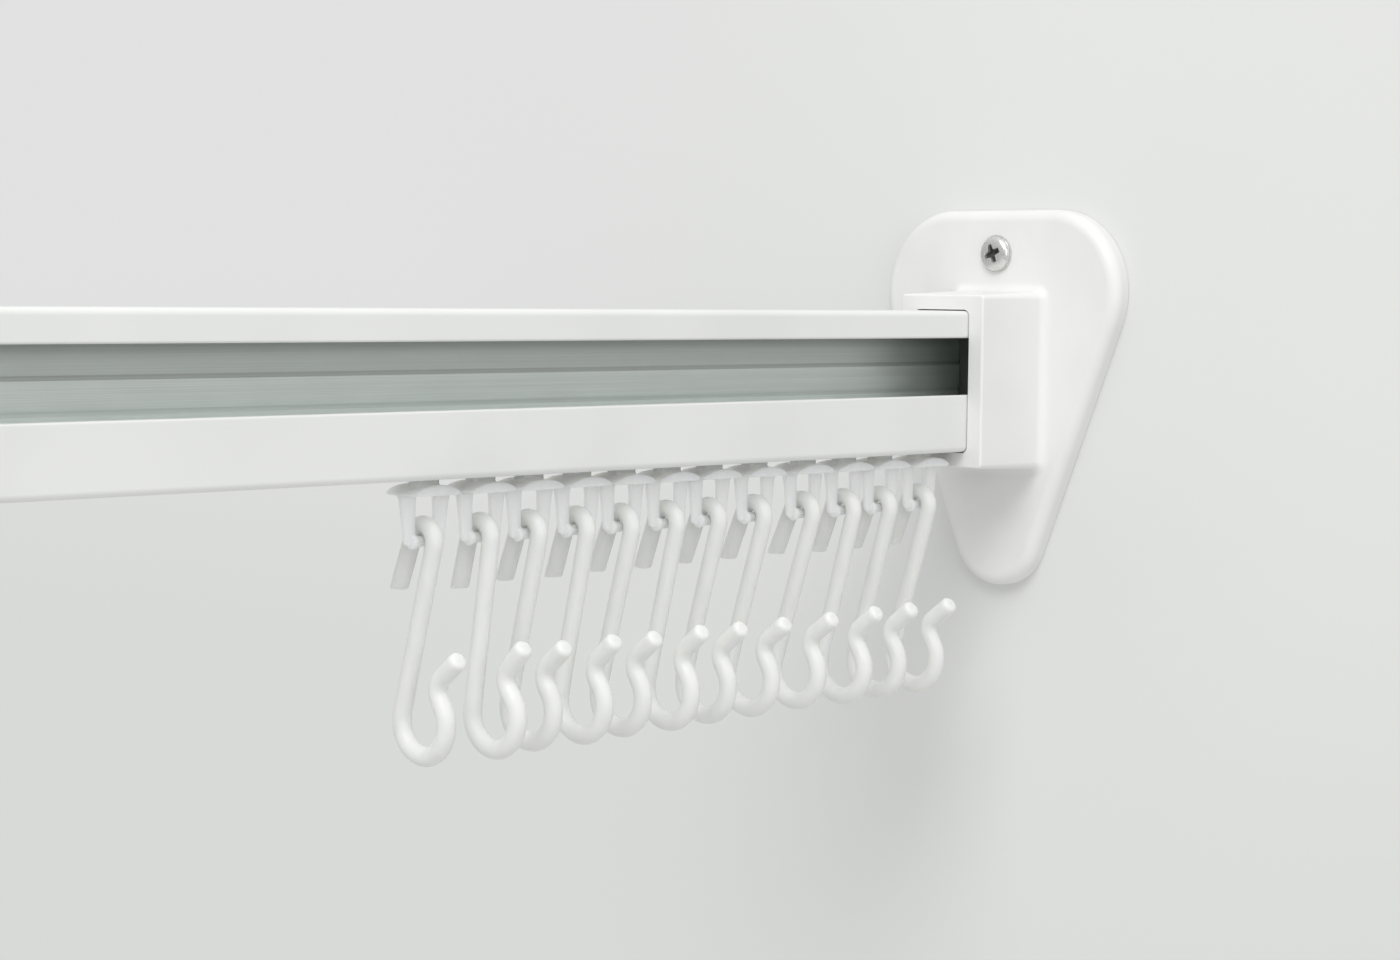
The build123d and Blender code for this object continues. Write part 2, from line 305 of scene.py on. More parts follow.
# --------------------------------------------------------------------------- finishes
@dataclass(frozen=True)
class RailFinish:
    """Satin white paint outside and bare drawn aluminium inside the channels, with painted shade
    on the back wall.
    """

    paint: Colour = (0.785, 0.795, 0.775)
    paint_warm: Colour = (0.745, 0.755, 0.73)
    metal: Colour = (0.93, 0.99, 0.955)
    # painted shade on the bare back wall: band steps darker going up, darker under the upper lip,
    # dark grooves
    low_band: float = 1.0
    mid_band: float = 0.91
    top_band: float = 0.75
    low_groove: tuple[float, float] = (-2.65 * MM, -1.85 * MM)
    top_groove: tuple[float, float] = (3.1 * MM, 3.9 * MM)
    groove_dark: tuple[float, float] = (0.12, 0.26)
    soft_edge: float = 0.15 * MM
    under_lip: tuple[float, float] = (6.5 * MM, 9.2 * MM)
    under_lip_dark: float = 0.25
    lip_inside: float = -6.13 * MM
    groove_floor: float = 6.6 * MM
    inner_half_height: float = 13.83 * MM
    paint_edge: float = 0.04 * MM
    drawn_line: tuple[float, float, float] = (90 * MM, 0.16 * MM, 0.16 * MM)
    drawn_band: tuple[float, float, float] = (400 * MM, 2.2 * MM, 2.2 * MM)
    stain: tuple[float, float, float] = (14 * MM, 3 * MM, 3 * MM)
    peel: float = 0.9 * MM
    cloud: float = 35 * MM
    marks_dark: float = 0.18
    relief_depth: float = 0.012 * MM

    def wall_tone(self, up: Value) -> Value:
        """The back wall's metal tone at a height, which is painted shade.

        Each band is a step darker than the one below it, painted shade that deepens towards the
        upper lip; the wall darkens again under the lip, painted shade of the lip, and each groove
        is a dark line of painted shade.

        Args:
            up: the height.

        Returns:
            The tone, at most 1.
        """
        # painted shade: darker going up towards the upper lip and right under it
        tone = (self.low_band - (self.low_band - self.mid_band) * up.rise(*self.low_groove)
                - (self.mid_band - self.top_band) * up.rise(*self.top_groove)
                - self.top_band * self.under_lip_dark * up.rise(*self.under_lip))
        # each groove gets a dark line of painted shade
        for (low, high), dark in zip((self.low_groove, self.top_groove), self.groove_dark):
            inside = (up.rise(low - self.soft_edge, low + self.soft_edge)
                      * up.rise(high + self.soft_edge, high - self.soft_edge))
            tone = tone * (1 - inside * dark)
        return tone

    def material(self) -> bpy.types.Material:
        """The inside of the section is bare, with drawn lines along X and painted shade; the rest
        is white paint.

        Returns:
            The material for the rail.
        """
        sheet = Finish("painted_rail")
        spot, _, across, up = sheet.place()
        in_depth = (across.rise(self.lip_inside - self.paint_edge, self.lip_inside)
                    * across.rise(self.groove_floor + self.paint_edge, self.groove_floor))
        in_height = abs(up).rise(self.inner_half_height, self.inner_half_height - self.paint_edge)
        bare = in_depth * in_height
        # painted shade of the back wall, from the height
        tone = self.wall_tone(up)
        drawn = sheet.noise(spot, self.drawn_line, 3.0)
        bands = sheet.noise(spot, self.drawn_band, 1.0)
        stains = sheet.noise(spot, self.stain, 3.0)
        orange_peel = sheet.noise(spot, self.peel, 2.0)
        clouding = sheet.noise(spot, self.cloud, 2.0)
        marks = (drawn * 0.5 + bands * 0.35 + stains * 0.25).rise(0.3, 0.85)
        lit = tone * (1 - self.marks_dark + marks * self.marks_dark)
        metal = sheet.mix(lit, (0.0, 0.0, 0.0), self.metal)
        paint = sheet.mix(clouding.rise(0.35, 0.75), self.paint, self.paint_warm)
        sheet.relief(bare * drawn + (1 - bare) * orange_peel * 0.5, self.relief_depth)
        return sheet.dress(
            Base_Color=sheet.mix(bare, paint, metal),
            Metallic=bare * 0.75,
            Roughness=0.36 + bare * 0.1 + (stains - 0.5) * 0.12,
            Specular_IOR_Level=0.45,
        )


@dataclass(frozen=True)
class MouldedPlastic:
    """Satin plastic from a finely spark-eroded mould."""

    name: str
    colour: Colour
    shade: Colour
    roughness: float = 0.42
    grain: float = 0.28 * MM
    grain_depth: float = 0.008 * MM
    flow: tuple[float, float, float] = (30 * MM, 12 * MM, 18 * MM)
    handled_patch: float = 9 * MM

    def material(self) -> bpy.types.Material:
        """Fine grain in the relief, slow clouding in the colour and a few duller patches.

        Returns:
            The material.
        """
        sheet = Finish(self.name)
        spot, *_ = sheet.place()
        grain = sheet.noise(spot, self.grain, 3.0)
        flow = sheet.noise(spot, self.flow, 2.0)
        handled = sheet.noise(spot, self.handled_patch, 4.0)
        sheet.relief(grain, self.grain_depth)
        return sheet.dress(
            Base_Color=sheet.mix(flow.rise(0.35, 0.75), self.colour, self.shade),
            Roughness=self.roughness + (grain - 0.5) * 0.1 + handled.rise(0.45, 0.75) * 0.08,
            Specular_IOR_Level=0.45,
        )


@dataclass(frozen=True)
class NaturalNylon:
    """Uncoloured white nylon: light goes a little way in, and thin parts look paler."""

    name: str
    colour: Colour
    shade: Colour
    glow: float
    glow_depth: float
    roughness: float = 0.40
    flow: tuple[float, float, float] = (2.4 * MM, 2.4 * MM, 6 * MM)
    skin: float = 0.35 * MM
    skin_depth: float = 0.006 * MM

    def material(self) -> bpy.types.Material:
        """Flow marks change colour and gloss slightly, over a shallow scatter below the skin.

        Returns:
            The material.
        """
        sheet = Finish(self.name)
        spot, *_ = sheet.place()
        flow = sheet.noise(spot, self.flow, 3.0)
        sheet.relief(sheet.noise(spot, self.skin, 2.0), self.skin_depth)
        return sheet.dress(
            Base_Color=sheet.mix(flow.rise(0.3, 0.8), self.colour, self.shade),
            Roughness=self.roughness + (flow - 0.5) * 0.16,
            Subsurface_Weight=self.glow,
            Subsurface_Scale=self.glow_depth,
            Subsurface_Radius=(1.0, 0.95, 0.85),
            Specular_IOR_Level=0.5,
        )


@dataclass(frozen=True)
class BrightPlating:
    """Bright nickel plating with fine tool scratches, a little dulling and painted shade in the
    recess.
    """

    metal: Colour = (0.72, 0.725, 0.705)
    dulled: Colour = (0.58, 0.585, 0.57)
    # painted shade in the cross recess
    recess: Colour = (0.07, 0.07, 0.066)
    scratch: tuple[float, float, float] = (0.9 * MM, 0.05 * MM, 0.6 * MM)
    scratch_depth: float = 0.004 * MM
    dull_spot: float = 0.5 * MM

    def material(self) -> bpy.types.Material:
        """Fine scratches roughen the plating, a few spots are duller, and painted shade darkens
        the recess.

        Returns:
            The material.
        """
        sheet = Finish("plated_screw")
        spot, *_ = sheet.place()
        scratch = sheet.noise(spot, self.scratch, 2.0)
        spots = sheet.noise(spot, self.dull_spot, 3.0)
        dent = Value(sheet, sheet.node("ShaderNodeAttribute",
                                       {"attribute_name": WallScrew.DENT}).outputs["Fac"])
        plated = sheet.mix(spots.rise(0.5, 0.8), self.metal, self.dulled)
        sheet.relief(scratch, self.scratch_depth)
        return sheet.dress(
            # the recess is painted dark, with less metal and more roughness: painted shade
            Base_Color=sheet.mix(dent.rise(0.05, 0.5), plated, self.recess),
            Metallic=1 - dent.rise(0.05, 0.5) * 0.6,
            Roughness=0.26 + scratch.rise(0.4, 0.8) * 0.12 + dent.rise(0.0, 0.4) * 0.35,
        )


@dataclass(frozen=True)
class StageFinish:
    """Matt pale surface that turns into the plain backdrop with distance, seen from its front."""

    name: str
    colour: Colour
    centre: Vector
    solid_to: float
    gone_by: float
    even_from: float
    even_by: float
    backdrop: Colour
    backdrop_low: Colour
    turns_over: tuple[float, float] = (-0.10, 0.03)

    def material(self) -> bpy.types.Material:
        """Near the centre it takes light; further out it glows as evenly as the backdrop.

        The glow is the low colour below the object and the backdrop's own colour above it and
        far away. From behind the surface is clear.

        Returns:
            The material.
        """
        sheet = Finish(self.name)
        spot, _, _, height = sheet.place()
        away = sheet.node("ShaderNodeVectorMath", {"operation": "DISTANCE"},
                          {0: spot, 1: self.centre})
        distance = Value(sheet, away.outputs["Value"])
        low_share = ((1 - height.rise(*self.turns_over))
                     * distance.rise(self.even_by, self.even_from))
        glow = sheet.node("ShaderNodeEmission", None, {
            "Color": sheet.mix(low_share, self.backdrop, self.backdrop_low)})
        front = sheet.node("ShaderNodeMixShader", None, {
            0: distance.rise(self.solid_to, self.gone_by),
            1: sheet.shader.outputs["BSDF"], 2: glow.outputs["Emission"]})
        clear = sheet.node("ShaderNodeBsdfTransparent")
        blend = sheet.node("ShaderNodeMixShader", None, {
            0: sheet.node("ShaderNodeNewGeometry").outputs["Backfacing"],
            1: front.outputs["Shader"], 2: clear.outputs["BSDF"]})
        sheet.feed(sheet.output.inputs["Surface"], blend.outputs["Shader"])
        sheet.material.cycles.emission_sampling = "NONE"
        return sheet.dress(Base_Color=self.colour, Roughness=0.9, Specular_IOR_Level=0.1)


# --------------------------------------------------------------------------- surfaces
@dataclass
class Shell:
    """A closed surface as whole arrays: its points, and the quads and triangles on them."""

    points: np.ndarray
    quads: np.ndarray
    tris: np.ndarray

    @staticmethod
    def lofted(rings: np.ndarray) -> "Shell":
        """Closes a stack of rings.

        The point on row i and column j is rings[i, j]; columns run round and close on
        themselves, and the first and last ring are closed by a fan to their middle.

        Args:
            rings: points, as rows by columns by 3.

        Returns:
            The closed surface, facing outwards.
        """
        rows, columns = rings.shape[:2]
        middles = rings[[0, -1]].mean(axis=1)
        points = np.concatenate([rings.reshape(-1, 3), middles])
        here = np.arange(columns)
        after = (here + 1) % columns
        row = (np.arange(rows - 1) * columns)[:, None]
        quads = np.stack([row + here, row + after, row + columns + after,
                          row + columns + here], axis=-1).reshape(-1, 4)
        first, last = rows * columns, (rows - 1) * columns
        start = np.stack([np.full(columns, first), after, here], axis=-1)
        end = np.stack([np.full(columns, first + 1), last + here, last + after], axis=-1)
        return Shell(points, quads, np.concatenate([start, end])).outward()

    @staticmethod
    def together(shells: Iterable["Shell"]) -> "Shell":
        """One surface that holds several, their faces renumbered."""
        parts = list(shells)
        starts = np.cumsum([0] + [len(p.points) for p in parts[:-1]])
        return Shell(
            np.concatenate([p.points for p in parts]),
            np.concatenate([p.quads + s for p, s in zip(parts, starts)]),
            np.concatenate([p.tris + s for p, s in zip(parts, starts)]),
        )

    def outward(self) -> "Shell":
        """Turns every face round if the volume, summed over the faces, comes out negative."""
        split = np.concatenate([self.quads[:, [0, 1, 2]], self.quads[:, [0, 2, 3]], self.tris])
        a, b, c = (self.points[split[:, i]] for i in range(3))
        if np.einsum("ij,ij->", a, np.cross(b, c)) < 0:
            return Shell(self.points, self.quads[:, ::-1], self.tris[:, ::-1])
        return self

    def object(self, name: str, sharp_above: float = 40.0) -> bpy.types.Object:
        """Puts the surface into a new object at the origin.

        Args:
            name: the piece's name.
            sharp_above: edges that turn by more degrees than this stay crisp.

        Returns:
            The new object.
        """
        mesh = bpy.data.meshes.new(name)
        mesh.from_pydata(self.points.tolist(), [], self.quads.tolist() + self.tris.tolist())
        return linked(name, mesh, sharp_above)


def linked(name: str, mesh: bpy.types.Mesh, sharp_above: float) -> bpy.types.Object:
    """Adds a mesh to the scene, smooth but for its sharp edges.

    Args:
        name: the piece's name.
        mesh: its finished mesh.
        sharp_above: edges that turn by more degrees than this stay crisp.

    Returns:
        The new object.
    """
    mesh.validate()
    mesh.shade_smooth()
    mesh.set_sharp_from_angle(angle=math.radians(sharp_above))
    piece = bpy.data.objects.new(name, mesh)
    bpy.context.scene.collection.objects.link(piece)
    return piece


def oval(columns: int, power: float) -> np.ndarray:
    """A unit superellipse: cosine and sine, each raised to 2/power with its sign kept.

    Args:
        columns: how many points go round.
        power: 2 is a circle, and more is squarer.

    Returns:
        Its points, as columns by 2.
    """
    turn = np.linspace(0, 2 * np.pi, columns, endpoint=False)
    both = np.stack([np.cos(turn), np.sin(turn)], axis=-1)
    return np.sign(both) * np.abs(both) ** (2 / power)


def swept_oval(middle: np.ndarray, half: np.ndarray, power: float, columns: int) -> Shell:
    """A stack of level superellipses along Z, each with its own middle and half sizes.

    Args:
        middle: the middle of each level, as rows by 3.
        half: its half width along X and along Y, as rows by 2.
        power: how square the ovals are.
        columns: how many points go round.

    Returns:
        The closed surface.
    """
    flat = oval(columns, power)[None] * half[:, None]
    return Shell.lofted(middle[:, None] + np.pad(flat, ((0, 0), (0, 0), (0, 1))))


def eased(rows: np.ndarray, end: float, round_by: float) -> np.ndarray:
    """How far a block is pulled in near its end: the drop of a quarter circle.

    Args:
        rows: heights.
        end: the height of the block's end.
        round_by: radius of the rounding.

    Returns:
        The pull at each height, 0 away from the end and the whole radius at it.
    """
    inside = np.clip(1 - np.abs(end - rows) / round_by, 0, 1)
    return round_by * (1 - np.sqrt(1 - inside**2))


# --------------------------------------------------------------------------- hooks
@dataclass
class CurtainHook:
    """A moulded rod hook that hangs on its runner's bar.

    Its centre line is drawn as a pen would: straight on, or turning on a circle.
    """

    rod: float = 3.3 * MM
    bar_radius: float = 1.0 * MM
    bar_clearance: float = 0.25 * MM
    tail_angle: float = 21.5
    tail_length: float = 10.9 * MM
    shank_angle: float = 15.0
    shank_length: float = 31.3 * MM
    crook_radius: float = 6.05 * MM
    crook_lean: float = 32.0
    arm_length: float = 1.8 * MM
    kink_radius: float = 3.0 * MM
    tip_angle: float = 51.0
    tip_length: float = 6.0 * MM
    tip_round: float = 0.9 * MM
    tail_round: float = 0.25 * MM
    plumb_turn: float = 0.378
    swell: float = 0.07
    swell_before: float = 6 * MM
    swell_over: float = 9 * MM
    seam_height: float = 0.018
    seam_width: float = 0.3 * MM
    step: float = 0.5 * MM
    columns: int = 44

    def moves(self) -> list[tuple[float, float]]:
        """Length and turn in degrees of each stretch of the centre line, tail to tip."""
        bend = self.bar_radius + self.bar_clearance + self.rod / 2
        turns = (
            (bend, 180 + self.shank_angle - self.tail_angle),
            (self.crook_radius, -(180 + self.shank_angle + self.crook_lean)),
            (self.kink_radius, self.tip_angle + self.crook_lean),
        )
        arcs = [(radius * math.radians(abs(turn)), turn) for radius, turn in turns]
        runs = (self.tail_length, self.shank_length, self.arm_length, self.tip_length)
        return [(runs[0], 0), arcs[0], (runs[1], 0), arcs[1], (runs[2], 0), arcs[2], (runs[3], 0)]

    def centre_line(self) -> tuple[np.ndarray, np.ndarray]:
        """Walks the centre line in the YZ plane, with y + iz as one complex number.

        On a straight stretch a point is its start plus heading times distance. On an arc it is
        the centre less i times heading times the signed radius, turned by the angle so far.

        Returns:
            The points and the unit headings, from the tail's end to the tip.
        """
        tail = math.radians(self.tail_angle)
        bend = self.bar_radius + self.bar_clearance + self.rod / 2
        heading = 1j * np.exp(1j * tail)
        start = bend * np.exp(1j * tail) - heading * self.tail_length
        points, headings = [np.array([start])], [np.array([heading])]
        for length, degrees in self.moves():
            count = max(2, math.ceil(length / self.step))
            along = np.linspace(0, 1, count + 1)[1:]
            turn = math.radians(degrees)
            if turn:
                radius = length / turn
                centre = start + 1j * heading * radius
                points.append(centre - 1j * heading * radius * np.exp(1j * turn * along))
            else:
                points.append(start + heading * length * along)
            headings.append(heading * np.exp(1j * turn * along))
            start, heading = points[-1][-1], headings[-1][-1]
        return np.concatenate(points), np.concatenate(headings)

    def surface(self) -> Shell:
        """Carries a circle along the centre line, with the bar's centre at the origin.

        A point is the line's point plus radius times (cos v along X + sin v across the line).
        The radius grows a little through the crook and tip, stands proud by a fine seam where
        the mould parts, and closes with a rounded edge at the tip. The tail is cut level: its
        end points slide along the rod to one height.

        Returns:
            The closed surface.
        """
        line, heading = self.centre_line()
        far = np.abs(np.diff(line, prepend=line[:1])).cumsum()
        lengths = np.array([length for length, _ in self.moves()])
        grown_from = lengths[:3].sum() - self.swell_before
        swell = 1 + self.swell * np.clip((far - grown_from) / self.swell_over, 0, 1)
        last = far <= far[-1] - self.tip_round
        turn = np.linspace(0, np.pi / 2, 6)[1:]
        ends = line[-1] - heading[-1] * self.tip_round * (1 - np.sin(turn))
        edge = self.tip_round * (1 - np.cos(turn))
        line = np.concatenate([line[last], ends])
        heading = np.concatenate([heading[last], np.full(len(turn), heading[-1])])
        radius = np.concatenate([self.rod / 2 * swell[last],
                                 self.rod / 2 * swell[-1] - edge])
        round_ = np.linspace(0, 2 * np.pi, self.columns, endpoint=False)
        from_seam = (np.abs(np.abs(np.sin(round_)) - 1)) ** 0.5 * self.rod / 2 * math.sqrt(2)
        seam = 1 + self.seam_height * np.exp(-((from_seam / self.seam_width) ** 2))
        out = radius[:, None] * seam
        across = line[:, None] + 1j * heading[:, None] * out * np.sin(round_)
        along_x = out * np.cos(round_)
        level = line[0].imag
        drop = heading[0]
        inner = across[0] - 1j * drop * self.tail_round * np.sin(round_)
        cut = inner + drop * (level - inner.imag) / drop.imag
        above = across[0] + drop * (level + self.tail_round - across[0].imag) / drop.imag
        skip = np.searchsorted(far, self.rod / 2)
        across = np.concatenate([[cut, above], across[skip:]])
        along_x = np.concatenate([[along_x[0] - self.tail_round * np.cos(round_), along_x[0]],
                                  along_x[skip:]])
        return Shell.lofted(np.stack([along_x, across.real, across.imag], axis=-1))

    def hung(self, shape: Shell, bar: Vector, swing: float) -> Shell:
        """Turns the hook about X by its plumb turn and swing, and moves it to its bar.

        Args:
            shape: the hook about the bar's centre.
            bar: where that centre is.
            swing: how far it was left swinging out, in degrees.

        Returns:
            The hook in its place.
        """
        turn = Matrix.Rotation(math.radians(self.plumb_turn + swing), 3, "X")
        return Shell(shape.points @ np.array(turn).T + np.array(bar), shape.quads, shape.tris)


# --------------------------------------------------------------------------- runners
@dataclass
class Runner:
    """A moulded runner: head in the rail, neck, arched cap, two legs and the hook's bar.

    It is drawn in millimetres with the bar's centre at its origin.
    """

    cap_width: float = 11.4
    cap_depth: float = 9.0
    cap_bottom: float = 8.3
    cap_rim: float = 0.35
    cap_arch: float = 1.6
    neck_half: tuple[float, float] = (2.6, 1.7)
    head_half: tuple[float, float] = (5.2, 4.8)
    head_low: float = 12.62
    head_thick: float = 2.6
    leg_inner: float = 2.25
    leg_foot: float = 4.45
    leg_top: float = 5.65
    leg_half_thick: float = 0.6
    leg_foot_drop: float = 0.6
    leg_round: float = 0.45
    leg_flare: float = 0.45
    leg_flare_height: float = 0.6
    bar_radius: float = 1.0
    bar_half: float = 3.2
    bar_flare: float = 0.35
    voxel: float = 0.19
    columns: int = 96

    def cap(self) -> Shell:
        """A lid: an oval scaled in and out by row, whose top follows an arch along X.

        Returns:
            The closed surface.
        """
        half = np.array([self.cap_width, self.cap_depth]) / 2
        scale = np.array([0.96, 1.0, 1.0, *np.linspace(1.0, 0.05, 14)])
        flat = oval(self.columns, 7.0)[None] * half * scale[:, None, None]
        rim = self.cap_bottom + self.cap_rim
        arch = rim + self.cap_arch * (1 - (flat[..., 0] / half[0]) ** 2)
        low = np.array([self.cap_bottom, self.cap_bottom + 0.15, rim])
        height = np.where(np.arange(len(scale))[:, None] < 3,
                          np.pad(low, (0, len(scale) - 3))[:, None], arch)
        return Shell.lofted(np.concatenate([flat, height[..., None]], axis=-1))

    def leg(self, side: int) -> Shell:
        """One leg: its outer edge leans out going up, and it flares into the cap.

        Args:
            side: 1 for the leg on +X, -1 for the other.

        Returns:
            The closed surface.
        """
        foot, top = -self.leg_foot_drop, self.cap_bottom + 0.3
        rows = np.linspace(foot, top, 30)
        outer = self.leg_foot + (self.leg_top - self.leg_foot) * (rows - foot) / (top - foot)
        flare = self.leg_flare * np.exp((rows - self.cap_bottom) / self.leg_flare_height)
        pulled = eased(rows, foot, self.leg_round)
        middle = np.stack([side * (outer + self.leg_inner) / 2, 0 * rows, rows], axis=-1)
        half = np.stack([(outer - self.leg_inner) / 2 - pulled,
                         self.leg_half_thick - pulled * 0.6 + flare], axis=-1)
        return swept_oval(middle, half, 8.0, 48)

    def bar(self) -> Shell:
        """The hook's bar: a round rod along X that thickens where it joins the legs.

        Returns:
            The closed surface.
        """
        rows, columns = 41, 32
        along = np.linspace(-self.bar_half, self.bar_half, rows)
        to_leg = np.clip(self.leg_inner - np.abs(along), 0, None)
        flare = self.bar_flare * np.exp(-to_leg / self.bar_flare)
        circle = oval(columns, 2.0)[None] * (self.bar_radius + flare)[:, None, None]
        reach = np.broadcast_to(along[:, None, None], (rows, columns, 1))
        return Shell.lofted(np.concatenate([reach, circle], axis=-1))

    def block(self, half: tuple[float, float], low: float, top: float, round_by: float,
              power: float) -> Shell:
        """An upright block with eased ends.

        Args:
            half: half width along X and along Y.
            low: height of its underside.
            top: height of its upper side.
            round_by: radius that eases both ends.
            power: how square it is from above.

        Returns:
            The closed surface.
        """
        rows = np.linspace(low, top, 36)
        pulled = eased(rows, low, round_by) + eased(rows, top, round_by)
        middle = np.stack([0 * rows, 0 * rows, rows], axis=-1)
        return swept_oval(middle, np.array(half) - pulled[:, None], power, self.columns)

    def mesh(self) -> bpy.types.Mesh:
        """Fuses the runner's forms into one moulding with soft inner corners.

        Returns:
            The mesh in metres, with the bar's centre at its origin.
        """
        head_top = self.head_low + self.head_thick
        forms = Shell.together([
            self.cap(), self.leg(1), self.leg(-1), self.bar(),
            self.block(self.neck_half, self.cap_bottom + 0.6, self.head_low + 1, 0.05, 5.0),
            self.block(self.head_half, self.head_low, head_top, 0.3, 6.0),
        ])
        rough = forms.object("runner_forms")
        fuse = rough.modifiers.new("fuse", "REMESH")
        fuse.mode, fuse.voxel_size = "VOXEL", self.voxel
        soften = rough.modifiers.new("soften", "SMOOTH")
        soften.factor, soften.iterations = 0.5, 3
        finished = rough.evaluated_get(bpy.context.evaluated_depsgraph_get())
        mesh = bpy.data.meshes.new_from_object(finished)
        bpy.data.objects.remove(rough)
        mesh.transform(Matrix.Scale(MM, 4))
        return mesh


# --------------------------------------------------------------------------- screws
@dataclass
class WallScrew:
    """A pan-head wall screw with a cross recess and a full thread.

    It is drawn along its own axis: the first coordinate is the depth below the crown.
    """

    DENT: ClassVar[str] = "recess_share"
    head_radius: float = 4.0 * MM
    dome: float = 1.4 * MM
    rim: float = 0.7 * MM
    rim_round: float = 0.16 * MM
    recess_half_span: float = 2.05 * MM
    recess_half_width: float = 0.66 * MM
    recess_depth: float = 1.7 * MM
    recess_slope: float = 0.22 * MM
    recess_turn: float = -22.0
    neck_radius: float = 1.85 * MM
    root_radius: float = 1.45 * MM
    thread_radius: float = 2.1 * MM
    pitch: float = 1.8 * MM
    ridge_half: float = 0.26
    thread_after: float = 2.0 * MM
    point: float = 5.0 * MM
    point_tip: float = 0.06
    neck_in_head: float = 0.2 * MM
    shank_step: float = 0.14 * MM
    columns: int = 144

    def recess(self, a: np.ndarray, b: np.ndarray) -> np.ndarray:
        """Depth of the cross recess at points on the head.

        The distance inside the nearer arm, over the slope's run, is the share of the depth;
        the floor itself falls towards the middle.

        Args:
            a: distance across the head one way.
            b: distance the other way.

        Returns:
            How far the surface lies below the dome.
        """
        turn = math.radians(self.recess_turn)
        u = a * math.cos(turn) + b * math.sin(turn)
        v = b * math.cos(turn) - a * math.sin(turn)
        radius = np.hypot(a, b)
        taper = self.recess_half_width * (1.25 - 0.45 * radius / self.recess_half_span)
        inside = np.maximum(
            np.minimum(self.recess_half_span - np.abs(u), taper - np.abs(v)),
            np.minimum(self.recess_half_span - np.abs(v), taper - np.abs(u)),
        )
        floor = self.recess_depth * (1 - 0.6 * np.clip(radius / self.recess_half_span, 0, 1))
        return floor * np.clip(inside / self.recess_slope, 0, 1)

    def crown(self) -> tuple[np.ndarray, np.ndarray, np.ndarray]:
        """The head's top on a grid of radius by turn.

        Returns:
            The radii, and both distances across the head at each grid point.
        """
        turn = np.linspace(0, 2 * np.pi, self.columns, endpoint=False)
        edge = self.head_radius - self.rim_round
        radius = np.concatenate([np.linspace(0.02, 0.7, 52),
                                 np.sin(np.linspace(0.8, np.pi / 2, 16))]) * edge
        return radius, radius[:, None] * np.cos(turn), radius[:, None] * np.sin(turn)

    def mark_recess(self, piece: bpy.types.Object) -> None:
        """Stores on each point how deep in the recess it is, from 0 to 1, which the plating's
        painted shade follows.

        Args:
            piece: the screw, whose list of points starts with the crown's grid.
        """
        _, a, b = self.crown()
        share = np.zeros(len(piece.data.vertices), dtype=np.float32)
        share[:a.size] = (self.recess(a, b) / self.recess_depth).ravel()
        piece.data.attributes.new(self.DENT, "FLOAT", "POINT").data.foreach_set("value", share)

    def head(self) -> Shell:
        """The head: a flat crown less the recess, then its rim and flat underside.

        The crown falls by the dome's height times 1 less the root of 1 less the fourth power
        of the radius's share, so it rounds over only near the rim.

        Returns:
            The closed surface.
        """
        turn = np.linspace(0, 2 * np.pi, self.columns, endpoint=False)
        edge = self.head_radius - self.rim_round
        radius, a, b = self.crown()
        fall = self.dome * (1 - np.sqrt(1 - (radius / edge) ** 4))
        depth = fall[:, None] + self.recess(a, b)
        under = self.dome + self.rim
        rest_depth = np.array([self.dome + 0.02 * MM, under - self.rim_round, under, under])
        rest_radius = np.array([self.head_radius, self.head_radius, edge, 0.3 * self.head_radius])
        rest = rest_radius[:, None, None] * np.stack([np.cos(turn), np.sin(turn)], axis=-1)
        top = np.stack([depth, a, b], axis=-1)
        levels = np.broadcast_to(rest_depth[:, None, None], (4, self.columns, 1))
        low = np.concatenate([levels, rest], axis=-1)
        return Shell.lofted(np.concatenate([top, low]))

    def shank(self, length: float, plate: float) -> Shell:
        """The neck, the threaded length and the point, as one turned surface.

        The radius is the root's plus a ridge that depends on depth over pitch less the share
        of a turn, so the ridge climbs as a helix. Towards the point both shrink together.

        Args:
            length: from the crown to the point.
            plate: depth of the plate's back, up to which the neck is plain.

        Returns:
            The closed surface.
        """
        begins = self.dome + self.rim - self.neck_in_head
        depth = np.linspace(begins, length, int((length - begins) / self.shank_step))
        turn = np.linspace(0, 2 * np.pi, 48, endpoint=False)
        phase = (depth[:, None] / self.pitch - turn / (2 * np.pi)) % 1
        ridge = np.clip(1 - np.abs(phase - 0.5) / self.ridge_half, 0, 1)
        cut = np.clip((depth - plate) / self.thread_after, 0, 1)[:, None]
        to_point = np.clip((length - depth) / self.point, 0, 1)[:, None]
        thread = self.root_radius + (self.thread_radius - self.root_radius) * ridge
        taper = self.point_tip + (1 - self.point_tip) * to_point
        radius = (self.neck_radius * (1 - cut) + thread * cut) * taper
        ring = np.stack([np.broadcast_to(depth[:, None], radius.shape),
                         radius * np.cos(turn), radius * np.sin(turn)], axis=-1)
        return Shell.lofted(ring)

    def driven(self, node: str, side: Side, plate_back: float) -> Shell:
        """Places the screw on the axis of the CAD screw it stands for.

        Args:
            node: that CAD node.
            side: which wall it is driven into.
            plate_back: X of the plate's back.

        Returns:
            The screw in its place.
        """
        low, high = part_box(node)
        crown = low.x if side is Side.RIGHT else high.x
        whole = Shell.together([self.head(), self.shank(high.x - low.x, abs(plate_back - crown))])
        centre = np.array([crown, (low.y + high.y) / 2, (low.z + high.z) / 2])
        way = np.array([side.value, side.value, 1.0])
        return Shell(whole.points * way + centre, whole.quads, whole.tris)


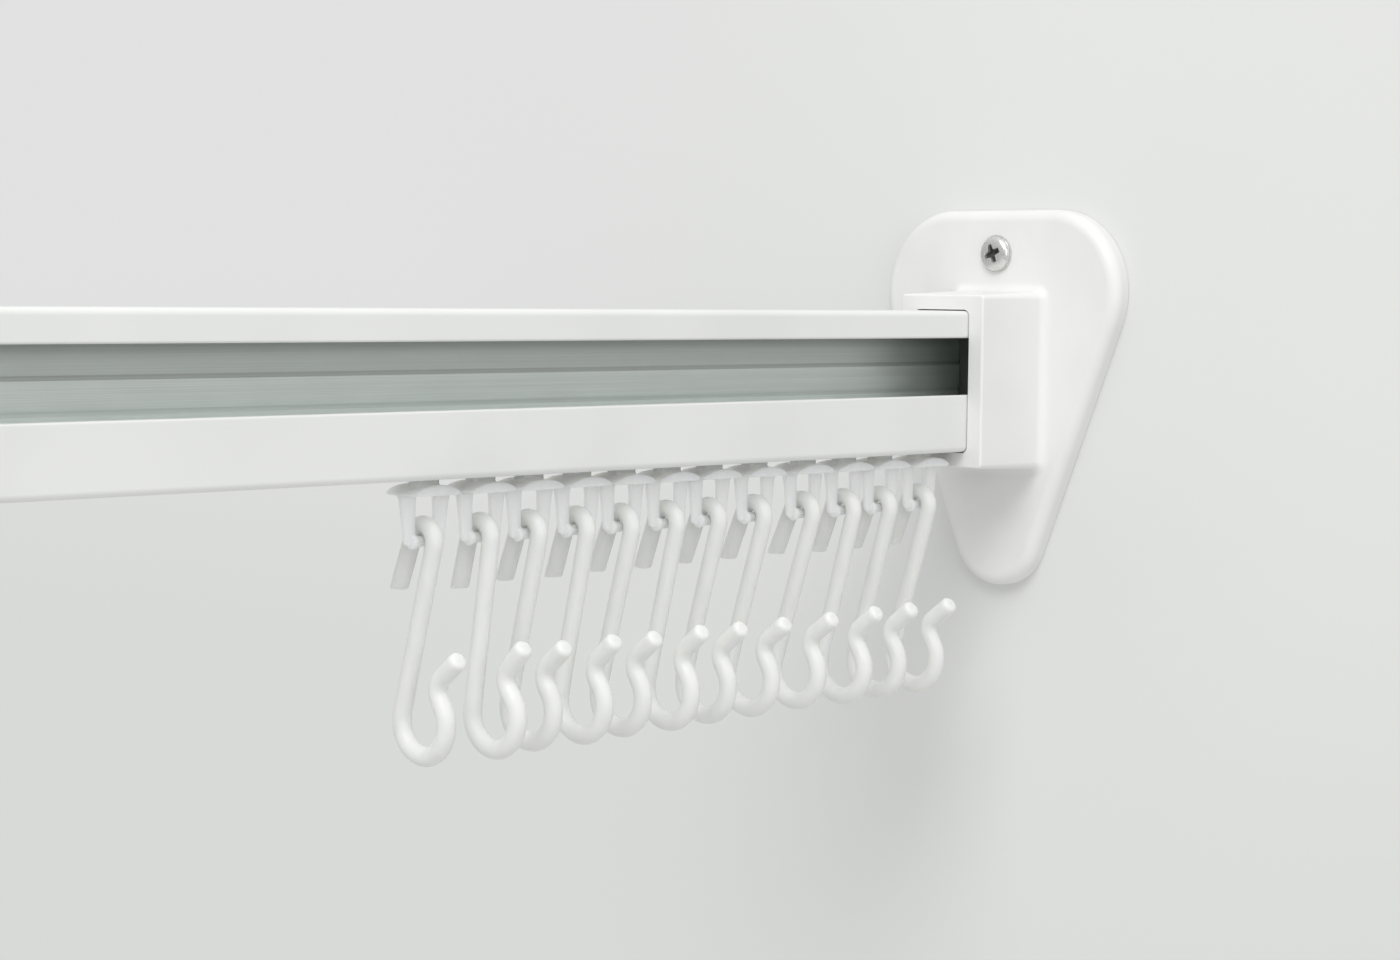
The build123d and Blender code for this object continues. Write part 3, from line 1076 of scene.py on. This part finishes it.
# --------------------------------------------------------------------------- assembly
@dataclass
class Row:
    """The whole rail: keeps the CAD shapes that are right and adds the detailed pieces."""

    frame: dict[str, Any]
    hook: CurtainHook = field(default_factory=CurtainHook)
    runner: Runner = field(default_factory=Runner)
    screw: WallScrew = field(default_factory=WallScrew)

    def __post_init__(self) -> None:
        """Reads which material slot the record gives each CAD node."""
        parts = self.frame["record"]["subparts"]
        self.slots = {part["node"]: part["material_slot"] for part in parts}

    def stands_for(self, piece: bpy.types.Object, node: str, body: str,
                   finish: bpy.types.Material) -> None:
        """Gives a new piece its finish and body, and hides the CAD node it replaces.

        Args:
            piece: the new piece, in its place.
            node: the CAD node.
            body: the body that it moves with.
            finish: its material.
        """
        piece.data.materials.clear()
        piece.data.materials.append(finish)
        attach(piece, body)
        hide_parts(node)
        log.info("%s: %d faces on body %s", piece.name, len(piece.data.polygons), body)

    def keep(self, node: str, finish: bpy.types.Material) -> None:
        """Gives a CAD node that keeps its shape a better finish."""
        made = self.frame["nodes"][node]
        for index in range(len(made.data.materials)):
            made.data.materials[index] = finish
        log.info("%s: CAD shape kept", node)

    def joint(self, name: str) -> dict[str, Any]:
        """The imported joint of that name."""
        return next(j for j in self.frame["joints"] if j["name"] == name)

    def brackets_and_rail(self) -> None:
        """Dresses the fixed CAD nodes and puts a real screw at each fixing."""
        plastic = MouldedPlastic("satin_bracket", colour=(0.81, 0.812, 0.802),
                                 shade=(0.78, 0.78, 0.768)).material()
        # The end stops are near black, partly painted shade: they deepen the dark inside the rail
        # by each socket.
        stop = MouldedPlastic("dull_end_stop", colour=(0.085, 0.09, 0.087),
                              shade=(0.10, 0.105, 0.10), roughness=0.6).material()
        plating = BrightPlating().material()
        self.keep("rail", RailFinish().material())
        for side in Side:
            plate = f"bracket_{side.word}"
            self.keep(plate, plastic)
            self.keep(f"end_stop_{side.word}", stop)
            low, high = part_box(plate)
            back = high.x if side is Side.RIGHT else low.x
            for place in ("upper", "lower"):
                node = f"{place}_screw_{side.word}"
                shape = self.screw.driven(node, side, back)
                piece = shape.object(f"{node}_detail", sharp_above=32.0)
                self.screw.mark_recess(piece)
                self.stands_for(piece, node, "root", plating)

    def runners_and_hooks(self) -> None:
        """Puts a runner and a hook at each hinge, swung as that hinge's limits say."""
        runner_nylon = NaturalNylon("nylon_runner", colour=(0.84, 0.85, 0.84),
                                    shade=(0.80, 0.815, 0.80), glow=1.0,
                                    glow_depth=7.0 * MM).material()
        hook_nylon = NaturalNylon("nylon_hook", colour=(0.765, 0.773, 0.76),
                                  shade=(0.735, 0.745, 0.73), glow=0.7,
                                  glow_depth=2.5 * MM).material()
        moulding = self.runner.mesh()
        shape = self.hook.surface()
        names = sorted(body for body in self.frame["bodies"] if body.startswith("hook_"))
        for hook_name in names:
            runner_name = hook_name.replace("hook", "runner")
            hinge = self.joint(f"{hook_name}_swing")
            bar = Vector(hinge["pos_m"])
            swing = -sum(hinge["range_deg"]) / 2
            mesh = moulding.copy()
            mesh.transform(Matrix.Translation(bar))
            carrier = linked(f"{runner_name}_moulding", mesh, sharp_above=60.0)
            self.stands_for(carrier, runner_name, runner_name, runner_nylon)
            hung = self.hook.hung(shape, bar, swing).object(f"{hook_name}_moulding")
            self.stands_for(hung, hook_name, hook_name, hook_nylon)


# --------------------------------------------------------------------------- studio
@dataclass
class SoftLight:
    """One soft rectangular light that looks at a point."""

    name: str
    place: Vector
    target: Vector
    width: float
    height: float
    power: float

    def build(self) -> None:
        """Adds the light, in plain white."""
        lamp = bpy.data.lights.new(self.name, "AREA")
        lamp.shape, lamp.size, lamp.size_y = "RECTANGLE", self.width, self.height
        lamp.energy = self.power
        holder = bpy.data.objects.new(self.name, lamp)
        holder.location = self.place
        holder.rotation_euler = (self.target - self.place).to_track_quat("-Z", "Y").to_euler()
        bpy.context.scene.collection.objects.link(holder)


@dataclass
class Studio:
    """Camera, soft lights, pale floor and the wall behind the right-hand plate."""

    camera_from_wall: float = 0.49312
    camera_in_front: float = 0.37831
    camera_above_rail: float = 0.01856
    heading: float = 46.2051
    looking_down: float = 3.8590
    leaning: float = 0.6488
    lens: float = 72.0
    floor_below: float = 0.30
    floor_reach: float = 40.0
    floor_colour: Colour = (0.62, 0.63, 0.615)
    wall_gap: float = 0.25 * MM
    wall_reach: float = 1.1
    wall_colour: Colour = (0.755, 0.765, 0.752)
    backdrop: Colour = (0.755, 0.755, 0.755)
    backdrop_low: Colour = (0.685, 0.70, 0.68)
    light_level: float = 0.56
    light_overhead: float = 0.94
    light_from_floor: float = 0.76

    def camera(self) -> None:
        """Stands the camera in front of the rail, close to eye level with it.

        Heading is measured from +Y towards +X, and leaning turns the picture's right side up.
        """
        turn, down, lean = (math.radians(v) for v in
                            (self.heading, self.looking_down, self.leaning))
        forward = Vector((math.sin(turn) * math.cos(down),
                          math.cos(turn) * math.cos(down), -math.sin(down)))
        level = Vector((math.cos(turn), -math.sin(turn), 0))
        right = level * math.cos(lean) + level.cross(forward) * math.sin(lean)
        axes = Matrix((right, right.cross(forward), -forward)).transposed().to_4x4()
        lens = bpy.data.cameras.new("camera")
        lens.lens, lens.sensor_width = self.lens, 36.0
        lens.clip_start, lens.clip_end = 0.01, 200.0
        holder = bpy.data.objects.new("camera", lens)
        place = Vector((-self.camera_from_wall, -self.camera_in_front, self.camera_above_rail))
        holder.matrix_world = Matrix.Translation(place) @ axes
        bpy.context.scene.collection.objects.link(holder)
        bpy.context.scene.camera = holder

    def panel(self, name: str, corners: np.ndarray, finish: StageFinish) -> None:
        """Adds one flat stage panel, which takes light but neither reflects nor shades.

        Args:
            name: its name.
            corners: its corners in order, seen from its front anticlockwise.
            finish: its look.
        """
        mesh = bpy.data.meshes.new(name)
        mesh.from_pydata(corners.tolist(), [], [tuple(range(len(corners)))])
        mesh.materials.append(finish.material())
        sheet = bpy.data.objects.new(name, mesh)
        bpy.context.scene.collection.objects.link(sheet)
        sheet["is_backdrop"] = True
        for rays in ("shadow", "diffuse", "glossy", "transmission"):
            setattr(sheet, f"visible_{rays}", False)

    def sky_light(self) -> None:
        """Lights the studio from all round, more from overhead, before a pale backdrop."""
        world = bpy.data.worlds.new("studio")
        world.use_nodes = True
        bpy.context.scene.world = world
        sheet = NodeSheet(world.node_tree)
        way = sheet.node("ShaderNodeTexCoord").outputs["Generated"]
        up = Value(sheet, sheet.node("ShaderNodeSeparateXYZ", None, {0: way}).outputs["Z"])
        plain = {"interpolation_type": "LINEAR"}
        upper = sheet.number("ShaderNodeMapRange", plain, up, 0.0, 1.0, self.light_level,
                             self.light_overhead)
        light = upper + sheet.number("ShaderNodeMapRange", plain, up, 0.0, -1.0, 0.0,
                                     self.light_from_floor - self.light_level)
        even = sheet.node("ShaderNodeCombineColor", None, {0: light, 1: light, 2: light})
        seen = Value(sheet, sheet.node("ShaderNodeLightPath").outputs["Is Camera Ray"])
        colour = sheet.mix(seen, even.outputs[0], self.backdrop)
        back = sheet.node("ShaderNodeBackground", None, {"Color": colour})
        sheet.node("ShaderNodeOutputWorld", None, {"Surface": back.outputs[0]})

    def surroundings(self, low: Vector) -> None:
        """Adds the sky light, the floor and the wall.

        Args:
            low: lowest corner of the model.
        """
        self.sky_light()
        bpy.context.scene.view_settings.view_transform = "Standard"
        ground = low.z - self.floor_below
        square = np.array([(-1, -1), (1, -1), (1, 1), (-1, 1)])
        level = np.pad(square * self.floor_reach, ((0, 0), (0, 1)), constant_values=ground)
        upright = np.pad(square[::-1] * self.wall_reach, ((0, 0), (1, 0)),
                         constant_values=self.wall_gap)
        plain = {"backdrop": self.backdrop, "backdrop_low": self.backdrop_low}
        self.panel("floor", level, StageFinish(
            "floor_pale", self.floor_colour, centre=Vector((-0.3, 0, ground)),
            solid_to=0.35, gone_by=1.2, even_from=0.5, even_by=1.2, **plain))
        self.panel("wall_right", upright, StageFinish(
            "wall_pale", self.wall_colour, centre=Vector((0, 0, 0)),
            solid_to=0.07, gone_by=0.22, even_from=0.55, even_by=1.0, **plain))
        log.info("floor at %.3f m", ground)

    def lights(self, high: Vector) -> None:
        """Adds a large key light from above on the left, and a weak fill from the front.

        Args:
            high: highest corner of the model.
        """
        target = Vector((high.x - 0.1, 0, 0))
        SoftLight("key", Vector((-0.95, -0.50, 1.0)), target,
                  width=0.8, height=0.8, power=9.9).build()
        SoftLight("fill", Vector((-0.6, -1.3, 0.2)), target,
                  width=0.8, height=0.8, power=2.8).build()


def main() -> None:
    logging.basicConfig(level=logging.INFO, format="%(name)s: %(message)s")
    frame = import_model()
    low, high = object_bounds()
    studio = Studio()
    studio.camera()
    studio.surroundings(low)
    studio.lights(high)
    row = Row(frame)
    row.brackets_and_rail()
    row.runners_and_hooks()


if __name__ == "__main__":
    main()
